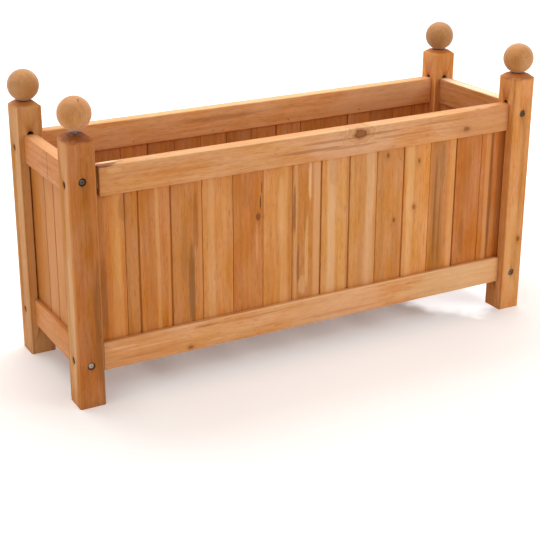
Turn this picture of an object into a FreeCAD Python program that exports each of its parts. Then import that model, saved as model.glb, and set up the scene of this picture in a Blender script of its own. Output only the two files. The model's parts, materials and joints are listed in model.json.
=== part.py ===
"""Hardwood window box planter on four posts, millimetres, +Z up, front face towards -Y.

The origin is on the ground under the middle of the trough. Four square posts carry eight rails.
Each rail has a tongue that enters a routed, round-ended slot in the post, and one recessed screw
through the post. Tongue and groove boards stand in grooves ploughed in the rails, and their outer
edges run in the same slots of the posts. A slatted base lies on two ledgers. Each post ends in a
hipped top with a turned ball that unscrews from a dowel screw.
"""
import FreeCAD, Part
import math
import os

# Overall frame
overall_length = 800.0        # over the posts, along X
overall_depth = 252.0         # over the posts, along Y
post_width = 40.0             # square section
post_height = 406.0           # ground to the small flat on top
post_arris = 2.0              # eased upright edges
hip_run = 8.5                 # how far each hip slopes in
hip_rise = 7.0                # how far each hip slopes up

# Rails
rail_thickness = 21.0
rail_height = 43.5
rail_setback = 9.5            # rail face behind the post face
rail_arris = 1.2              # eased edges of rails and slats
bottom_rail_z = 49.5          # underside of the bottom rails
top_rail_drop = 48.5          # top of the top rails below the top of the posts
loose_shoulder = 7.5          # open joint at the left end of the front top rail

# Slots routed in the posts, and the tongues in them
slot_width = 10.5
slot_depth = 8.0
slot_setback = 15.0           # slot wall behind the post face
tongue_fit = 0.25             # gap beside and behind a tongue

# Tongue and groove boards
board_thickness = 8.0
board_setback = 17.3          # board face behind the post face
board_fit = 0.2               # gap beside a board in its groove
groove_depth = 10.0           # plough depth in the rails
board_top_gap = 1.0           # gap over the boards in the top rails
board_edge_in_post = 5.0      # how far an outer board enters the post
board_arris = 0.8             # small bevel on each face edge
joint_tongue = 2.6            # thickness of a board's tongue
joint_tongue_reach = 5.0      # how far it stands out
joint_fit = 0.3               # slack around and beyond it
tight_seam = 0.3
open_seam = 2.2
narrowest_board = 15.0

# Widths of the boards as seen, from the left or from the back, and the seams that gape
front_first_widths = (46.3, 20.6)
front_board_pitch = 50.7
front_open_seams = (2, 3, 8, 9, 11, 13)
back_first_widths = (35.4,)
back_board_pitch = 46.8
back_open_seams = (4, 9, 12)
end_first_widths = (56.0, 38.5)
end_board_pitch = 50.7
end_open_seams = ()

# Screws that hold the rails
frame_screw_length = 65.0
frame_screw_shank = 4.8
frame_screw_head = 10.4
frame_screw_head_height = 3.4
shank_sides = 8               # flats on shanks and their bores
head_sides = 16               # flats on heads and counterbores
counterbore_width = 12.4
counterbore_depth = 6.0
screw_clearance = 0.2         # around a shank in the post
pilot_clearance = 0.05        # around a shank in the rail
screw_stagger = 6.0           # lets the two screws of a corner cross

# Brads, the thin nails of rectangular section that a nail gun drives flush
brad_width = 2.2
brad_thickness = 1.4
brad_clearance = 0.05
pin_length = 11.0             # brads that hold the boards in the top rails
pin_rise = 6.5                # above the rail's underside
pin_pitch = 140.0

# Base
ledger_width = 18.0
ledger_height = 18.0
ledger_top_z = 70.0
ledger_end_gap = 0.5
slat_width = 72.0
slat_thickness = 10.0
slat_min_gap = 18.0
slat_end_gap = 0.6
ledger_nail_length = 30.0
ledger_nail_rise = 5.0        # above the ledger's underside
slat_nail_length = 22.0
slat_nail_inset = 16.0        # from the long edges of a slat

# Finials
ball_radius = 24.0
ball_seat_radius = 6.5        # flat turned under the ball
ball_gap = 0.3                # under a ball that is screwed home
ball_bore_depth = 21.0
ball_sides = 20               # flats around a ball
ball_bands = 10               # and from its seat to its top
dowel_screw_width = 6.0
dowel_screw_above = 18.0
dowel_screw_below = 19.0
dowel_screw_pitch = 2.5
dowel_screw_fit = 0.05
front_left_turns_loose = 2.0

half_length = overall_length / 2
half_depth = overall_depth / 2
long_span = overall_length - 2 * post_width
end_span = overall_depth - 2 * post_width
post_centre_x = -half_length + post_width / 2
post_centre_y = -half_depth + post_width / 2
eaves_z = post_height - hip_rise
top_rail_top = post_height - top_rail_drop
top_rail_z = top_rail_top - rail_height
bottom_rail_top = bottom_rail_z + rail_height
rail_middle = rail_height / 2
groove_in_rail = board_setback - board_fit - rail_setback
groove_width = board_thickness + 2 * board_fit
board_bottom_z = bottom_rail_top - groove_depth
board_top_z = top_rail_z + groove_depth - board_top_gap
inner_rail_y = half_depth - rail_setback - rail_thickness

# Heights of the two screws that meet in a corner, top and bottom
long_screw_heights = (top_rail_z + rail_middle, bottom_rail_z + rail_middle)
end_screw_heights = (long_screw_heights[0] + screw_stagger, long_screw_heights[1] - screw_stagger)


def vec(x, y, z):
    return FreeCAD.Vector(x, y, z)


def box(low, high):
    """A box from its low corner to its high corner."""
    return Part.makeBox(high[0] - low[0], high[1] - low[1], high[2] - low[2], vec(*low))


def mirrored(shape, right, back):
    """The front left corner's piece, carried to another corner."""
    result = shape
    if right:
        result = result.mirror(vec(0, 0, 0), vec(1, 0, 0))
    if back:
        result = result.mirror(vec(0, 0, 0), vec(0, 1, 0))
    return result


def aimed(shape, place, direction):
    """A piece made along +Z, moved to place and turned to point along direction."""
    result = shape.copy()
    rotation = FreeCAD.Rotation(vec(0, 0, 1), direction)
    result.Placement = FreeCAD.Placement(place, rotation)
    return result


def ring(radius, height, sides):
    """Corners of a regular polygon about Z, with the first one repeated at the end."""
    turn = 2 * math.pi / sides
    return [vec(radius * math.cos(i * turn), radius * math.sin(i * turn), height) for i in range(sides + 1)]


def flatted_rod(place, direction, radius, length, sides):
    """A small shank, head or bore, as a prism with flats instead of a round."""
    prism = Part.Face(Part.makePolygon(ring(radius, 0, sides))).extrude(vec(0, 0, length))
    return aimed(prism, place, direction)


def bored(piece, holes):
    """A piece less the holes that reach it."""
    reaching = [hole for hole in holes if hole.BoundBox.intersect(piece.BoundBox)]
    return piece.cut(Part.makeCompound(reaching)) if reaching else piece


def both_sides(shapes):
    """Shapes of the front, and their mirror images at the back."""
    return shapes + [mirrored(shape, False, True) for shape in shapes]


# ---------------------------------------------------------------- where the fasteners go

def corner_screws():
    """Place on the post face, direction and kind of the four screws in the front left post."""
    screws = []
    for height in long_screw_heights:
        screws.append((vec(-half_length, post_centre_y, height), vec(1, 0, 0), "long"))
    for height in end_screw_heights:
        screws.append((vec(post_centre_x, -half_depth, height), vec(0, 1, 0), "end"))
    return screws


def pin_places():
    """Place on the rail's inner face and outward direction of every board pin."""
    pins = []
    height = top_rail_z + pin_rise
    inner_end_x = half_length - rail_setback - rail_thickness
    for x in spaced(long_span, pin_pitch):
        pins.append((vec(x, -inner_rail_y, height), vec(0, -1, 0)))
        pins.append((vec(x, inner_rail_y, height), vec(0, 1, 0)))
    for y in spaced(end_span, pin_pitch):
        pins.append((vec(-inner_end_x, y, height), vec(-1, 0, 0)))
        pins.append((vec(inner_end_x, y, height), vec(1, 0, 0)))
    return pins


def spaced(span, pitch):
    """Middles of an even row that is centred in a span."""
    count = int(span / pitch) + 1
    return [(i - (count - 1) / 2) * pitch for i in range(count)]


def ledger_nail_places():
    """Place on the front ledger's inner face of each nail, under every other gap between slats."""
    y = -inner_rail_y + ledger_width
    z = ledger_top_z - ledger_height + ledger_nail_rise
    edges = slat_edges()
    gaps = [(left[1] + right[0]) / 2 for left, right in zip(edges[:-1], edges[1:])]
    return [(vec(x, y, z), vec(0, -1, 0)) for x in gaps[::2]]


def slat_nail_places():
    """Place on the slats' top and direction of each nail, two at each end of a slat."""
    places = []
    y = inner_rail_y - ledger_width / 2
    top = ledger_top_z + slat_thickness
    for left, right in slat_edges():
        for x in (left + slat_nail_inset, right - slat_nail_inset):
            places.append((vec(x, -y, top), vec(0, 0, -1)))
            places.append((vec(x, y, top), vec(0, 0, -1)))
    return places


# ---------------------------------------------------------------- posts

def slot(direction):
    """Tool for the stopped slot in one inner face of the front left post."""
    radius = slot_width / 2
    middle = slot_setback + radius
    tool = box((-radius, 0, bottom_rail_z), (radius, slot_depth, top_rail_top))
    for end in (bottom_rail_z, top_rail_top):
        tool = tool.fuse(Part.makeCylinder(radius, slot_depth, vec(0, 0, end), vec(0, 1, 0)))
    if direction == "along_y":
        tool.translate(vec(-half_length + middle, -half_depth + post_width - slot_depth, 0))
        return tool
    tool.rotate(vec(0, 0, 0), vec(0, 0, 1), -90)
    tool.translate(vec(-half_length + post_width - slot_depth, -half_depth + middle, 0))
    return tool


def square(side, z):
    """A square wire around the front left post's centre line."""
    half = side / 2
    corners = [(-half, -half), (half, -half), (half, half), (-half, half), (-half, -half)]
    return Part.makePolygon([vec(post_centre_x + x, post_centre_y + y, z) for x, y in corners])


def front_left_post():
    """A square post with eased arrises and a hipped top, slotted, bored and counterbored."""
    low = (-half_length, -half_depth, 0)
    blank = box(low, (low[0] + post_width, low[1] + post_width, post_height))
    uprights = [e for e in blank.Edges if abs(e.tangentAt(e.FirstParameter).z) > 0.9]
    blank = blank.makeChamfer(post_arris, uprights)
    shaft = box(low, (low[0] + post_width, low[1] + post_width, eaves_z))
    hip_sections = [square(post_width, eaves_z), square(post_width - 2 * hip_run, post_height)]
    hip = Part.makeLoft(hip_sections, True, True)
    post = blank.common(shaft.fuse(hip))
    post = post.cut(slot("along_x")).cut(slot("along_y"))
    for place, direction, kind in corner_screws():
        shank_hole = frame_screw_shank / 2 + screw_clearance
        post = post.cut(flatted_rod(place, direction, counterbore_width / 2, counterbore_depth, head_sides))
        post = post.cut(flatted_rod(place, direction, shank_hole, post_width, shank_sides))
    bore = dowel_screw_width / 2 + dowel_screw_fit
    bore_depth = dowel_screw_below + 2 * dowel_screw_fit
    bore_floor = vec(post_centre_x, post_centre_y, post_height - bore_depth)
    post = post.cut(Part.makeCylinder(bore, bore_depth, bore_floor))
    return post.removeSplitter()


# ---------------------------------------------------------------- rails

def rail(span, grooved_on_top, left_gap=0.0):
    """A rail along X with its outer face at y = 0, standing on z = 0, centred on its span.

    The boards' groove runs from shoulder to shoulder, and the tongues keep to the solid part
    beside it, so that the outer boards can pass them in the posts' slots.
    """
    left = -span / 2 + left_gap
    body = box((left, 0, 0), (span / 2, rail_thickness, rail_height))
    body = body.makeChamfer(rail_arris, body.Edges)
    floor = rail_height - groove_depth if grooved_on_top else 0
    groove_high = (span / 2, groove_in_rail + groove_width, floor + groove_depth)
    body = body.cut(box((left, groove_in_rail, floor), groove_high))
    tongue_low = 0 if grooved_on_top else groove_depth
    tongue_high = rail_height - groove_depth if grooved_on_top else rail_height
    front = slot_setback - rail_setback + tongue_fit
    back = front + slot_width - 2 * tongue_fit
    reach = span / 2 + slot_depth - tongue_fit
    for inner, outer in ((left + rail_arris, -reach), (span / 2 - rail_arris, reach)):
        tongue = box((min(inner, outer), front, tongue_low), (max(inner, outer), back, tongue_high))
        body = body.fuse(tongue)
    return body.removeSplitter()


def long_rail(z, grooved_on_top, back, left_gap=0.0):
    piece = rail(long_span, grooved_on_top, left_gap)
    piece.translate(vec(0, -half_depth + rail_setback, z))
    return drilled_rail(mirrored(piece, False, back), "long")


def end_rail(z, grooved_on_top, right):
    piece = rail(end_span, grooved_on_top)
    piece.rotate(vec(0, 0, 0), vec(0, 0, 1), -90)
    piece.translate(vec(-half_length + rail_setback, 0, z))
    return drilled_rail(mirrored(piece, right, False), "end")


def drilled_rail(piece, kind):
    """The holes for the frame screws, the pins and the ledger nails that enter this rail."""
    radius = frame_screw_shank / 2 + pilot_clearance
    depth = counterbore_depth + frame_screw_length + pilot_clearance
    pilots = []
    for place, direction, screw_kind in corner_screws():
        if screw_kind == kind:
            pilots.append(flatted_rod(place, direction, radius, depth, shank_sides))
    pilots = both_sides(pilots)
    pilots += [mirrored(pilot, True, False) for pilot in pilots]
    return bored(piece, pilots + pin_holes() + ledger_nail_holes()).removeSplitter()


def pin_holes():
    return brads(pin_places(), pin_length, brad_clearance)


def ledger_nail_holes():
    return both_sides(brads(ledger_nail_places(), ledger_nail_length, brad_clearance))


# ---------------------------------------------------------------- boards

def board_spans(span, first_widths, pitch):
    """Left and right seam of every board across a span, which starts at -span / 2."""
    widths = list(first_widths)
    rest = span - sum(widths)
    full = int(rest / pitch)
    if rest - full * pitch < narrowest_board:
        full -= 1
    widths += [pitch] * full
    widths.append(span - sum(widths))
    seams = [-span / 2]
    for width in widths:
        seams.append(seams[-1] + width)
    return list(zip(seams[:-1], seams[1:]))


def board(left, right, first, last, gap_left, gap_right):
    """One upright board in a row along X, its face at y = 0.

    The left edge is grooved, or runs on into the post, and the right edge has the tongue.
    """
    x0 = left - board_edge_in_post if first else left + gap_left / 2
    x1 = right + board_edge_in_post if last else right - gap_right / 2
    back = board_thickness
    tongue_y0 = (board_thickness - joint_tongue) / 2
    tongue_y1 = tongue_y0 + joint_tongue
    outline = [(x0 + board_arris, 0), (x1 - board_arris, 0), (x1, board_arris)]
    if not last:
        reach = x1 + joint_tongue_reach
        outline += [(x1, tongue_y0), (reach, tongue_y0), (reach, tongue_y1), (x1, tongue_y1)]
    outline += [(x1, back - board_arris), (x1 - board_arris, back)]
    outline += [(x0 + board_arris, back), (x0, back - board_arris)]
    if not first:
        depth = x0 + joint_tongue_reach + joint_fit - gap_left + tight_seam
        mouth0 = tongue_y0 - joint_fit / 2
        mouth1 = tongue_y1 + joint_fit / 2
        outline += [(x0, mouth1), (depth, mouth1), (depth, mouth0), (x0, mouth0)]
    outline.append((x0, board_arris))
    points = [vec(x, y, board_bottom_z) for x, y in outline]
    face = Part.Face(Part.makePolygon(points + [points[0]]))
    return face.extrude(vec(0, 0, board_top_z - board_bottom_z))


def board_row(span, first_widths, pitch, open_seams):
    """All boards of one side, along X with their faces at y = 0."""
    spans = board_spans(span, first_widths, pitch)
    gaps = [open_seam if number in open_seams else tight_seam for number in range(len(spans) + 1)]
    row = []
    for index, (left, right) in enumerate(spans):
        first = index == 0
        last = index == len(spans) - 1
        row.append(board(left, right, first, last, gaps[index], gaps[index + 1]))
    return row


def long_boards(back, first_widths, pitch, open_seams):
    boards = []
    for piece in board_row(long_span, first_widths, pitch, open_seams):
        piece.translate(vec(0, -half_depth + board_setback, 0))
        boards.append(bored(mirrored(piece, False, back), pin_holes()))
    return boards


def end_boards(right):
    """The boards of one end, counted from the back."""
    boards = []
    for piece in board_row(end_span, end_first_widths, end_board_pitch, end_open_seams):
        piece.rotate(vec(0, 0, 0), vec(0, 0, 1), -90)
        piece.translate(vec(-half_length + board_setback, 0, 0))
        boards.append(bored(mirrored(piece, right, False), pin_holes()))
    return boards


# ---------------------------------------------------------------- fasteners

def frame_screw():
    """A screw along +Z, with the underside of its head at z = 0."""
    high = frame_screw_head_height
    up = vec(0, 0, 1)
    head = flatted_rod(vec(0, 0, -high), up, frame_screw_head / 2, high, head_sides)
    shank = flatted_rod(vec(0, 0, 0), up, frame_screw_shank / 2, frame_screw_length, shank_sides)
    return head.fuse(shank)


def frame_screws(kind):
    screws = []
    for right in (False, True):
        for back in (False, True):
            for place, direction, screw_kind in corner_screws():
                if screw_kind == kind:
                    screw = aimed(frame_screw(), place + direction * counterbore_depth, direction)
                    screws.append(mirrored(screw, right, back))
    return screws


def brad(place, direction, length, clearance=0.0):
    """A brad driven from place along direction, or its hole when it is given a clearance."""
    width = brad_width / 2 + clearance
    thickness = brad_thickness / 2 + clearance
    return aimed(box((-width, -thickness, 0), (width, thickness, length + clearance)), place, direction)


def brads(places, length, clearance=0.0):
    return [brad(place, direction, length, clearance) for place, direction in places]


# ---------------------------------------------------------------- base

def front_ledger():
    """A batten nailed to the inside of the front bottom rail."""
    reach = long_span / 2 - ledger_end_gap
    low = (-reach, -inner_rail_y, ledger_top_z - ledger_height)
    high = (reach, -inner_rail_y + ledger_width, ledger_top_z)
    return bored(box(low, high), ledger_nail_holes() + slat_nail_holes())


def slat_edges():
    """Left and right edge of each slat, spread evenly between the posts."""
    span = long_span - 2 * slat_end_gap
    count = int((span + slat_min_gap) / (slat_width + slat_min_gap))
    step = (span - slat_width) / (count - 1)
    return [(-span / 2 + i * step, -span / 2 + i * step + slat_width) for i in range(count)]


def slat_nail_holes():
    return brads(slat_nail_places(), slat_nail_length, brad_clearance)


def base_slats():
    """Cross slats on the ledgers, with drainage gaps between them."""
    reach = inner_rail_y - slat_end_gap
    slats = []
    for left, right in slat_edges():
        slat = box((left, -reach, ledger_top_z), (right, reach, ledger_top_z + slat_thickness))
        upper = [e for e in slat.Edges if e.BoundBox.ZMin > ledger_top_z and e.BoundBox.XLength < 1]
        slats.append(bored(slat.makeChamfer(rail_arris, upper), slat_nail_holes()))
    return slats


# ---------------------------------------------------------------- finials

def ball():
    """A turned ball about the origin, with a flat seat below and a bore for the dowel screw."""
    seat = math.asin(-seat_drop() / ball_radius)
    step = (math.pi / 2 - seat) / (ball_bands + 0.5)
    angles = [seat + i * step for i in range(ball_bands + 1)]
    rings = [ring(ball_radius * math.cos(a), ball_radius * math.sin(a), ball_sides) for a in angles]
    faces = [Part.Face(Part.makePolygon(rings[0])), Part.Face(Part.makePolygon(rings[-1]))]
    for low, high in zip(rings[:-1], rings[1:]):
        for i in range(ball_sides):
            faces.append(Part.Face(Part.makePolygon([low[i], low[i + 1], high[i + 1], high[i], low[i]])))
    solid = Part.makeSolid(Part.makeShell(faces))
    bore = dowel_screw_width / 2 + dowel_screw_fit
    return solid.cut(Part.makeCylinder(bore, ball_bore_depth, vec(0, 0, -seat_drop())))


def seat_drop():
    """Height of the ball's centre over its flat seat."""
    return math.sqrt(ball_radius ** 2 - ball_seat_radius ** 2)


def finial_ball(right, back):
    """The ball over one post; the front left one stands a little proud, turned loose."""
    loose = 0.0 if right or back else front_left_turns_loose * dowel_screw_pitch
    piece = ball()
    piece.translate(vec(post_centre_x, post_centre_y, post_height + ball_gap + loose + seat_drop()))
    return mirrored(piece, right, back)


def dowel_screw(right, back):
    """A double ended screw, sunk in the post below and in the ball above."""
    foot = vec(post_centre_x, post_centre_y, post_height - dowel_screw_below)
    length = dowel_screw_above + dowel_screw_below
    piece = Part.makeCylinder(dowel_screw_width / 2, length, foot)
    return mirrored(piece, right, back)


# ---------------------------------------------------------------- assembly

def save(name, solids):
    shape = solids[0] if len(solids) == 1 else Part.makeCompound(solids)
    shape.exportStep("parts/" + name + ".step")


def save_corner_pieces():
    post = front_left_post()
    for right, side in ((False, "left"), (True, "right")):
        for back, face in ((False, "front"), (True, "back")):
            name = face + "_" + side
            save(name + "_post", [mirrored(post, right, back)])
            save(name + "_finial_ball", [finial_ball(right, back)])
            save(name + "_dowel_screw", [dowel_screw(right, back)])


def save_rails():
    save("front_top_rail", [long_rail(top_rail_z, False, False, loose_shoulder)])
    save("back_top_rail", [long_rail(top_rail_z, False, True)])
    save("front_bottom_rail", [long_rail(bottom_rail_z, True, False)])
    save("back_bottom_rail", [long_rail(bottom_rail_z, True, True)])
    for right, side in ((False, "left"), (True, "right")):
        save(side + "_top_rail", [end_rail(top_rail_z, False, right)])
        save(side + "_bottom_rail", [end_rail(bottom_rail_z, True, right)])


def save_boards():
    front = long_boards(False, front_first_widths, front_board_pitch, front_open_seams)
    back = long_boards(True, back_first_widths, back_board_pitch, back_open_seams)
    for side, boards in (("front", front), ("back", back)):
        for number, piece in enumerate(boards, 1):
            save(side + "_board_%02d" % number, [piece])
    save("left_end_boards", end_boards(False))
    save("right_end_boards", end_boards(True))


def save_base():
    save("base_ledgers", both_sides([front_ledger()]))
    save("base_slats", base_slats())


def save_fasteners():
    save("long_rail_screws", frame_screws("long"))
    save("end_rail_screws", frame_screws("end"))
    save("board_pins", brads(pin_places(), pin_length))
    save("ledger_nails", both_sides(brads(ledger_nail_places(), ledger_nail_length)))
    save("slat_nails", brads(slat_nail_places(), slat_nail_length))


os.makedirs("parts", exist_ok=True)
save_corner_pieces()
save_rails()
save_boards()
save_base()
save_fasteners()
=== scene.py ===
"""Dresses the window box planter: oiled hardwood, zinc plated screws and a plain pale studio."""
import json
import math

import bmesh
import bpy
from mathutils import Matrix, Vector

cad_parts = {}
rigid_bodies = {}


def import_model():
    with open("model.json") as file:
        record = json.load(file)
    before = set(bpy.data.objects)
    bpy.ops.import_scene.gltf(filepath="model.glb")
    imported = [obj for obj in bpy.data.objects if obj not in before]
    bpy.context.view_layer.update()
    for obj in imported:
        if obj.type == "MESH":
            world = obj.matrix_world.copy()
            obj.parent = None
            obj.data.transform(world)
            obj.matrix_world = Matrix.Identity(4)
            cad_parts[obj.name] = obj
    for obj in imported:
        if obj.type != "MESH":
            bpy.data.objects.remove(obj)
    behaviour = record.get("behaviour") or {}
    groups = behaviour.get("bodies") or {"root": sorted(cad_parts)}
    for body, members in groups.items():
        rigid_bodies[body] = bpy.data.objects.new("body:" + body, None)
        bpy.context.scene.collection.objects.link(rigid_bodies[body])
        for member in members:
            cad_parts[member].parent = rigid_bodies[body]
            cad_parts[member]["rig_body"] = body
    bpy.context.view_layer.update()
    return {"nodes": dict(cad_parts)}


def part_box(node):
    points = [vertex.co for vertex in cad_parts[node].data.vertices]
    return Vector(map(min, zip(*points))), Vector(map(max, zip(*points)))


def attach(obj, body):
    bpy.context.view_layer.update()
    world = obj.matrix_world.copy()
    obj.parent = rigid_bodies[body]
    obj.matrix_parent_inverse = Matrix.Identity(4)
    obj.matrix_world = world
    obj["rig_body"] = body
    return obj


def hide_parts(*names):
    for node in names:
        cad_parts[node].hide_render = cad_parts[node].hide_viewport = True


bl_info = {
    "name": "Window Box Planter",
    "version": (1, 0, 0),
    "blender": (4, 5, 0),
    "location": "3D View > Sidebar > Planter",
    "description": "Oiled hardwood, turned balls and screws for a window box planter",
    "category": "Object",
}

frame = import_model()
MM = 0.001
CORNERS = [face + "_" + side for face in ("front", "back") for side in ("left", "right")]


def linear(code):
    """A linear colour from an sRGB hex code."""
    parts = [int(code[i:i + 2], 16) / 255 for i in (1, 3, 5)]
    return [p / 12.92 if p <= 0.04045 else ((p + 0.055) / 1.055) ** 2.4 for p in parts] + [1.0]


def add(tree, kind, inputs=(), **settings):
    """Adds a node with its settings, and links or sets its inputs."""
    made = tree.nodes.new(kind)
    for key, value in settings.items():
        setattr(made, key, value)
    for key, value in dict(inputs).items():
        if isinstance(value, bpy.types.NodeSocket):
            tree.links.new(value, made.inputs[key])
        else:
            made.inputs[key].default_value = value
    return made


def ranged(tree, value, low, high, first, last, smooth="LINEAR"):
    """A value mapped from low and high to first and last, and held there beyond them."""
    return add(tree, "ShaderNodeMapRange", {0: value, 1: low, 2: high, 3: first, 4: last},
               interpolation_type=smooth).outputs[0]


def maths(tree, operation, *values, **settings):
    """The result of one operation on plain values or sockets."""
    return add(tree, "ShaderNodeMath", dict(enumerate(values)), operation=operation, **settings).outputs[0]


def times(tree, first, second):
    return maths(tree, "MULTIPLY", first, second)


def vectors(tree, operation, *values):
    """The vector that one operation makes of plain vectors or sockets."""
    return add(tree, "ShaderNodeVectorMath", dict(enumerate(values)), operation=operation).outputs[0]


def stretched(tree, vector, factor):
    return add(tree, "ShaderNodeVectorMath", {0: vector, "Scale": factor}, operation="SCALE").outputs[0]


def length_of(tree, vector):
    return add(tree, "ShaderNodeVectorMath", {0: vector}, operation="LENGTH").outputs["Value"]


def noise(tree, vector, detail, scale=1.0, roughness=0.5, output="Fac"):
    return add(tree, "ShaderNodeTexNoise",
               {"Vector": vector, "Scale": scale, "Detail": detail, "Roughness": roughness}).outputs[output]


def empty_material(name):
    """A material without nodes, and its tree."""
    made = bpy.data.materials.new(name)
    made.use_nodes = True
    made.node_tree.nodes.clear()
    return made, made.node_tree


def colour_property(name, description, code):
    return bpy.props.FloatVectorProperty(
        name=name, description=description, subtype="COLOR", size=4, min=0.0, max=1.0, default=linear(code))


def length_property(name, description, millimetres):
    return bpy.props.FloatProperty(
        name=name, description=description, default=millimetres * MM, min=0.0, unit="LENGTH", precision=5)


def count_property(name, description, count):
    return bpy.props.IntProperty(name=name, description=description, default=count, min=8)


def power_property(name, description, watts):
    return bpy.props.FloatProperty(name=name, description=description, default=watts, min=0.0)


# ---------------------------------------------------------------- settings

class PlanterWoodSettings(bpy.types.PropertyGroup):
    post_colour: colour_property("Post colour", "Middle tone of the oiled posts", "#CC8645")
    rail_colour: colour_property("Rail colour", "Middle tone of the oiled rails", "#D7965D")
    board_colour: colour_property("Board colour", "Middle tone of the oiled boards", "#CB8443")
    base_colour: colour_property("Base colour", "Middle tone of the sawn base", "#A8713F")
    fibre_width: length_property("Fibre width", "Width of one visible line of fibre", 1.7)
    streak_width: length_property("Streak width", "Width of one broad band of tone", 11.0)
    ring_spacing: length_property("Ring spacing", "Distance between growth rings", 7.0)
    arris: length_property("Arris", "Rounding worn on every edge of the wood", 0.9)


class PlanterFinialSettings(bpy.types.PropertyGroup):
    ball_colour: colour_property("Ball colour", "Middle tone of the turned balls", "#BD8753")
    ball_segments: count_property("Segments", "Sides of a turned ball", 64)
    ball_rings: count_property("Rings", "Bands of a turned ball", 40)
    thread_pitch: length_property("Thread pitch", "Rise of a dowel screw in one turn", 2.5)
    thread_depth: length_property("Thread depth", "Depth of the dowel screw's thread", 0.5)


class PlanterScrewSettings(bpy.types.PropertyGroup):
    head_width: length_property("Head width", "Across a frame screw's head", 10.4)
    head_height: length_property("Head height", "Height of a frame screw's head", 3.4)
    shank_width: length_property("Shank width", "Across a frame screw's shank", 4.8)
    shank_length: length_property("Shank length", "Under a frame screw's head", 65.0)
    recess_width: length_property("Recess width", "Across the cross in the head", 5.8)
    recess_arm: length_property("Recess arm", "Width of one arm of the cross", 1.5)
    recess_depth: length_property("Recess depth", "Depth of the cross", 1.8)


class PlanterStageSettings(bpy.types.PropertyGroup):
    floor_colour: colour_property("Floor colour", "The pale studio floor", "#F4EFEA")
    floor_size: length_property("Floor size", "Side of the square floor", 14000.0)
    key_power: power_property("Key power", "Power of the overhead lamp", 38.0)
    left_power: power_property("Left power", "Power of the left lamp", 8.0)
    front_power: power_property("Front power", "Power of the front lamp", 14.0)


# ---------------------------------------------------------------- wood

# Across one way, across the other way and along the grain, for each direction of grain
GRAIN_ORDER = {"X": ("Y", "Z", "X"), "Y": ("X", "Z", "Y"), "Z": ("X", "Y", "Z")}
# How far one unit of seed moves the pattern, in millimetres in the grain's order
SEED_STEPS = (37.3, 91.7, 653.1)


def grain_point(grain, point):
    """A point in millimetres, in the order of the grain's own axes."""
    values = dict(zip("XYZ", point))
    return Vector([values[axis] for axis in GRAIN_ORDER[grain]])


def shade(colour, factor, warmth=0.0):
    """A darker or lighter linear colour; warmth shifts it from blue towards red."""
    return (min(1.0, colour[0] * factor * (1 + warmth)), min(1.0, colour[1] * factor),
            min(1.0, colour[2] * factor * (1 - warmth)), 1.0)


def scaled(tree, vector, across, along):
    """The grain vector divided by the size of a feature across and along the grain, in millimetres."""
    return vectors(tree, "MULTIPLY", vector, (1 / across, 1 / across, 1 / along))


def grain_space(tree, place, grain, centre, seed):
    """Millimetres from a piece's middle in the grain's order, and the same moved by the seed."""
    millimetres = stretched(tree, place.outputs["Object"], 1000.0)
    split = add(tree, "ShaderNodeSeparateXYZ", {0: millimetres})
    swapped = add(tree, "ShaderNodeCombineXYZ",
                  {i: split.outputs[axis] for i, axis in enumerate(GRAIN_ORDER[grain])})
    local = add(tree, "ShaderNodeMapping", {"Vector": swapped.outputs[0], "Location": -centre}).outputs[0]
    return local, vectors(tree, "ADD", local, tuple(seed * step for step in SEED_STEPS))


def wandering(tree, seeded):
    """The fibre's own coordinates, which wander by a few millimetres over a hand's length."""
    drift = noise(tree, scaled(tree, seeded, 60, 210), 2.0, output="Color")
    drift = vectors(tree, "SUBTRACT", drift, (0.5, 0.5, 0.5))
    return vectors(tree, "ADD", seeded, vectors(tree, "MULTIPLY", drift, (9, 9, 0)))


# What each pattern adds to the tone of the wood, and the sums that read as darkest and lightest
PATTERN_WEIGHTS = {"band": 0.6, "fibre": 0.8, "ring": 0.12, "cloud": 0.5, "mottle": 0.25}
DARKEST_SUM = 0.79
LIGHTEST_SUM = 1.48
# Distance between the rings of Blender's wave pattern at a scale of 1
RINGS_AT_UNIT_SCALE = 0.314


def wood_tone(tree, flow, seeded):
    """The fibre, the clouds, and the tone that all patterns make together, from dark at 0 to light at 1."""
    settings = bpy.context.scene.planter_wood
    tilted = add(tree, "ShaderNodeMapping",
                 {"Vector": flow, "Location": (31.0, 44.0, 0.0), "Rotation": (0.035, 0.05, 0.0)})
    ring = add(tree, "ShaderNodeTexWave",
               {"Vector": tilted.outputs[0], "Scale": RINGS_AT_UNIT_SCALE / (settings.ring_spacing / MM),
                "Distortion": 2.2, "Detail": 2.0, "Detail Scale": 0.35},
               wave_type="RINGS", rings_direction="Z", wave_profile="SIN")
    patterns = {
        "band": noise(tree, scaled(tree, flow, settings.streak_width / MM, 330), 2.5, roughness=0.6),
        "fibre": noise(tree, scaled(tree, flow, settings.fibre_width / MM, 60), 5.0, roughness=0.68),
        "ring": ring.outputs["Fac"],
        "cloud": noise(tree, scaled(tree, flow, 24, 75), 3.0),
        "mottle": noise(tree, scaled(tree, seeded, 6, 17), 3.0),
    }
    tone = times(tree, patterns["band"], PATTERN_WEIGHTS["band"])
    for pattern in ("fibre", "ring", "cloud", "mottle"):
        tone = maths(tree, "MULTIPLY_ADD", patterns[pattern], PATTERN_WEIGHTS[pattern], tone)
    return patterns["fibre"], patterns["cloud"], ranged(tree, tone, DARKEST_SUM, LIGHTEST_SUM, 0.0, 1.0)


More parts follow.
